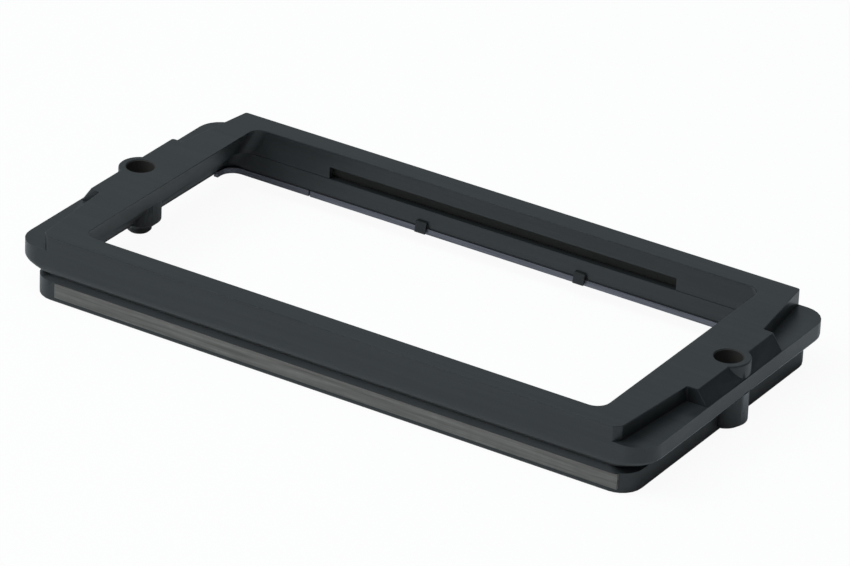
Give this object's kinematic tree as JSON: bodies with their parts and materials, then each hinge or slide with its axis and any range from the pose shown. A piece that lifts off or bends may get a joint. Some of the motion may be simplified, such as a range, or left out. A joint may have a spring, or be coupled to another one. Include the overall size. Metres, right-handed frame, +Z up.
{
  "type": "negative carrier",
  "caption": "Black rectangular film carrier for an enlarger: a stepped upper frame around a long open window lifts off a lipped lower frame on guide pins in the end bosses.",
  "frame": {"origin": "under the middle of the window, on the plane that the lower frame's lip stands on", "axes": "+X along the window's long side to the right as seen from the front, +Y to the rear, +Z up towards the lamp side"},
  "size_m": [0.137, 0.0662, 0.0134],
  "materials": {
    "black_plastic": "satin black moulded plastic",
    "black_steel": "blackened steel pin",
    "grey_strip": "dull warm grey strip with fine lengthwise streaks",
    "bright_metal": "dull grey metal edge",
    "keeper_plastic": "dull black plastic"
  },
  "bodies": {
    "lower": {"lower_frame": "black_plastic", "left_guide_pin": "black_steel", "right_guide_pin": "black_steel", "front_edge_strip": "grey_strip", "rear_long_rail": "bright_metal", "rear_corner_rail": "bright_metal", "front_long_rail": "bright_metal", "front_corner_rail": "bright_metal", "rear_left_keeper": "keeper_plastic", "rear_right_keeper": "keeper_plastic", "front_left_keeper": "keeper_plastic", "front_right_keeper": "keeper_plastic"},
    "upper": {"upper_frame": "black_plastic"}
  },
  "joints": [
    {"name": "upper_frame_lift", "type": "slide", "parent": "lower", "child": "upper", "axis": [0, 0, 1], "range_m": [0, 0.015]}
  ]
}
